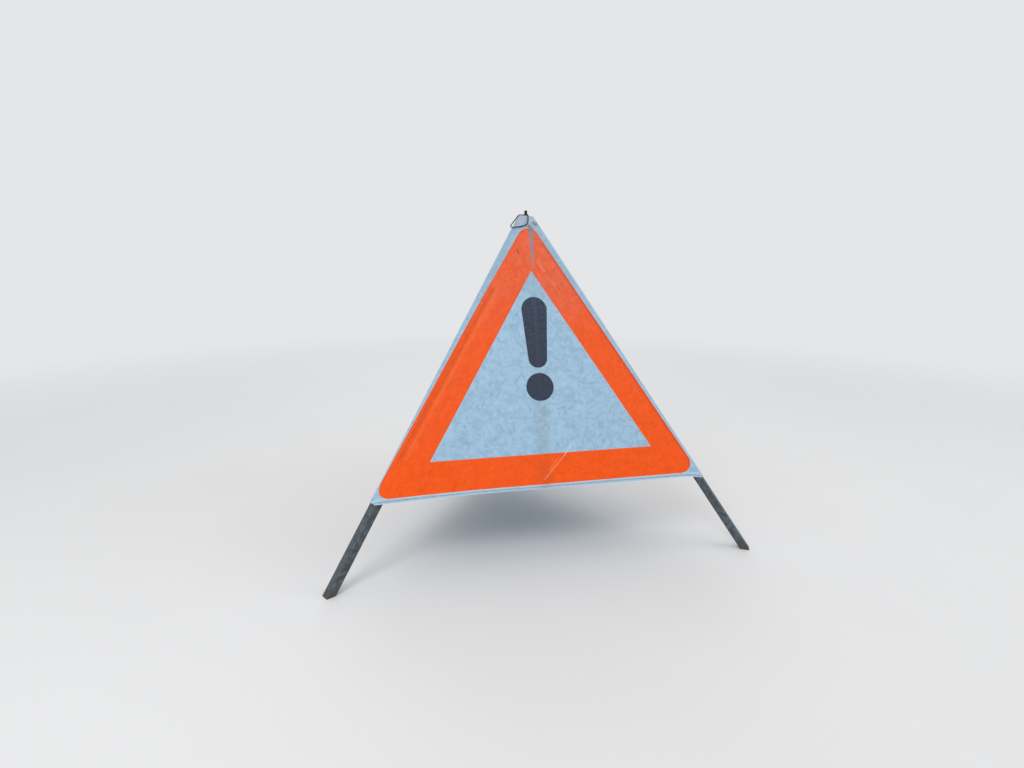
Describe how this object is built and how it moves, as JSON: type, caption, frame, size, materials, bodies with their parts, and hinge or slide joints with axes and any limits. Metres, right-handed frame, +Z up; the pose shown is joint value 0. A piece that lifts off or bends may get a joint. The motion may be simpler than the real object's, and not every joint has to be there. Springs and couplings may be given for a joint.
{
  "type": "folding warning sign",
  "caption": "Folding fabric warning sign: a pyramid of creased triangular faces on channel legs that hinge on a small head, with an umbrella spreader inside.",
  "frame": {"origin": "centre of the footprint box, on the ground the legs stand on", "axes": "+Z up out of the peg on top, +X along the hem of the front face to its right, front face towards -Y"},
  "size_m": [1.136, 0.9843, 0.9092],
  "materials": {
    "galvanised_steel": "satin",
    "zinc_steel": "satin",
    "dark_steel": "satin",
    "dark_plastic": "matte",
    "silver_cap": "satin",
    "printed_fabric": "satin",
    "white_fabric": "satin",
    "cord": "matte"
  },
  "bodies": {
    "head": {"head_hub": "dark_plastic", "head_cap": "silver_cap", "top_peg": "dark_steel", "cord_loop": "cord", "centre_tube": "zinc_steel", "tube_plug": "dark_plastic"},
    "collar": {"collar": "dark_plastic", "collar_pin_rear": "zinc_steel", "collar_pin_left": "zinc_steel", "collar_pin_right": "zinc_steel"},
    "leg_rear": {"leg_rear": "galvanised_steel", "cover_rear": "white_fabric", "leg_pin_rear": "zinc_steel", "rivets_rear_a": "zinc_steel", "rivets_rear_b": "zinc_steel"},
    "leg_left": {"leg_left": "galvanised_steel", "cover_left": "white_fabric", "leg_pin_left": "zinc_steel", "rivets_left_a": "zinc_steel", "rivets_left_b": "zinc_steel"},
    "leg_right": {"leg_right": "galvanised_steel", "cover_right": "white_fabric", "leg_pin_right": "zinc_steel", "rivets_right_a": "zinc_steel", "rivets_right_b": "zinc_steel"},
    "brace_rear": {"brace_rear": "galvanised_steel"},
    "brace_left": {"brace_left": "galvanised_steel"},
    "brace_right": {"brace_right": "galvanised_steel"},
    "panel_left_rear": {"panel_left_rear": "printed_fabric"},
    "panel_right_rear": {"panel_right_rear": "printed_fabric"},
    "panel_front_left": {"panel_front_left": "printed_fabric"},
    "panel_left_front": {"panel_left_front": "printed_fabric"},
    "panel_right_front": {"panel_right_front": "printed_fabric"},
    "panel_front_right": {"panel_front_right": "printed_fabric"}
  },
  "joints": [
    {"name": "leg_rear_fold", "type": "hinge", "parent": "head", "child": "leg_rear", "pos_m": [0, -0.11707, 0.83985], "axis": [-1, 0, 0], "range_deg": [0, 33]},
    {"name": "leg_left_fold", "type": "hinge", "parent": "head", "child": "leg_left", "pos_m": [-0.0346, -0.177, 0.83985], "axis": [0.5, -0.866, 0], "range_deg": [0, 33]},
    {"name": "leg_right_fold", "type": "hinge", "parent": "head", "child": "leg_right", "pos_m": [0.0346, -0.177, 0.83985], "axis": [0.5, 0.866, 0], "range_deg": [0, 33]},
    {"name": "collar_slide", "type": "slide", "parent": "head", "child": "collar", "axis": [0, 0, 1], "range_m": [0, 0.0454]},
    {"name": "brace_rear_swing", "type": "hinge", "parent": "collar", "child": "brace_rear", "pos_m": [0, -0.12702, 0.70254], "axis": [-1, 0, 0], "range_deg": [0, 49.78]},
    {"name": "brace_left_swing", "type": "hinge", "parent": "collar", "child": "brace_left", "pos_m": [-0.02598, -0.17202, 0.70254], "axis": [0.5, -0.866, 0], "range_deg": [0, 49.78]},
    {"name": "brace_right_swing", "type": "hinge", "parent": "collar", "child": "brace_right", "pos_m": [0.02598, -0.17202, 0.70254], "axis": [0.5, 0.866, 0], "range_deg": [0, 49.78]},
    {"name": "panel_left_rear_swing", "type": "hinge", "parent": "leg_rear", "child": "panel_left_rear", "pos_m": [-0.0125, 0.1253, 0.52133], "axis": [0, 0.5773, -0.8165], "range_deg": [0, 75.64], "deforming": ["panel_left_rear"]},
    {"name": "panel_right_rear_swing", "type": "hinge", "parent": "leg_rear", "child": "panel_right_rear", "pos_m": [0.0125, 0.1253, 0.52133], "axis": [0, -0.5773, 0.8165], "range_deg": [0, 75.64], "deforming": ["panel_right_rear"]},
    {"name": "panel_front_left_swing", "type": "hinge", "parent": "leg_left", "child": "panel_front_left", "pos_m": [-0.23825, -0.30901, 0.52133], "axis": [-0.5, -0.2887, -0.8165], "range_deg": [0, 75.64], "deforming": ["panel_front_left"]},
    {"name": "panel_left_front_swing", "type": "hinge", "parent": "leg_left", "child": "panel_left_front", "pos_m": [-0.25075, -0.28736, 0.52133], "axis": [0.5, 0.2887, 0.8165], "range_deg": [0, 75.64], "deforming": ["panel_left_front"]},
    {"name": "panel_right_front_swing", "type": "hinge", "parent": "leg_right", "child": "panel_right_front", "pos_m": [0.25075, -0.28736, 0.52133], "axis": [0.5, -0.2887, -0.8165], "range_deg": [0, 75.64], "deforming": ["panel_right_front"]},
    {"name": "panel_front_right_swing", "type": "hinge", "parent": "leg_right", "child": "panel_front_right", "pos_m": [0.23825, -0.30901, 0.52133], "axis": [-0.5, 0.2887, 0.8165], "range_deg": [0, 75.64], "deforming": ["panel_front_right"]}
  ],
  "couplings": [
    {"joint": "leg_left_fold", "follows": "leg_rear_fold", "ratio": 1},
    {"joint": "leg_right_fold", "follows": "leg_rear_fold", "ratio": 1},
    {"joint": "collar_slide", "follows": "leg_rear_fold", "m_per_rad": 0.078696},
    {"joint": "brace_rear_swing", "follows": "leg_rear_fold", "ratio": 1.5069},
    {"joint": "brace_left_swing", "follows": "leg_rear_fold", "ratio": 1.5069},
    {"joint": "brace_right_swing", "follows": "leg_rear_fold", "ratio": 1.5069},
    {"joint": "panel_left_rear_swing", "follows": "leg_rear_fold", "ratio": 2.2906},
    {"joint": "panel_right_rear_swing", "follows": "leg_rear_fold", "ratio": 2.2906},
    {"joint": "panel_front_left_swing", "follows": "leg_rear_fold", "ratio": 2.2906},
    {"joint": "panel_left_front_swing", "follows": "leg_rear_fold", "ratio": 2.2906},
    {"joint": "panel_right_front_swing", "follows": "leg_rear_fold", "ratio": 2.2906},
    {"joint": "panel_front_right_swing", "follows": "leg_rear_fold", "ratio": 2.2906}
  ]
}
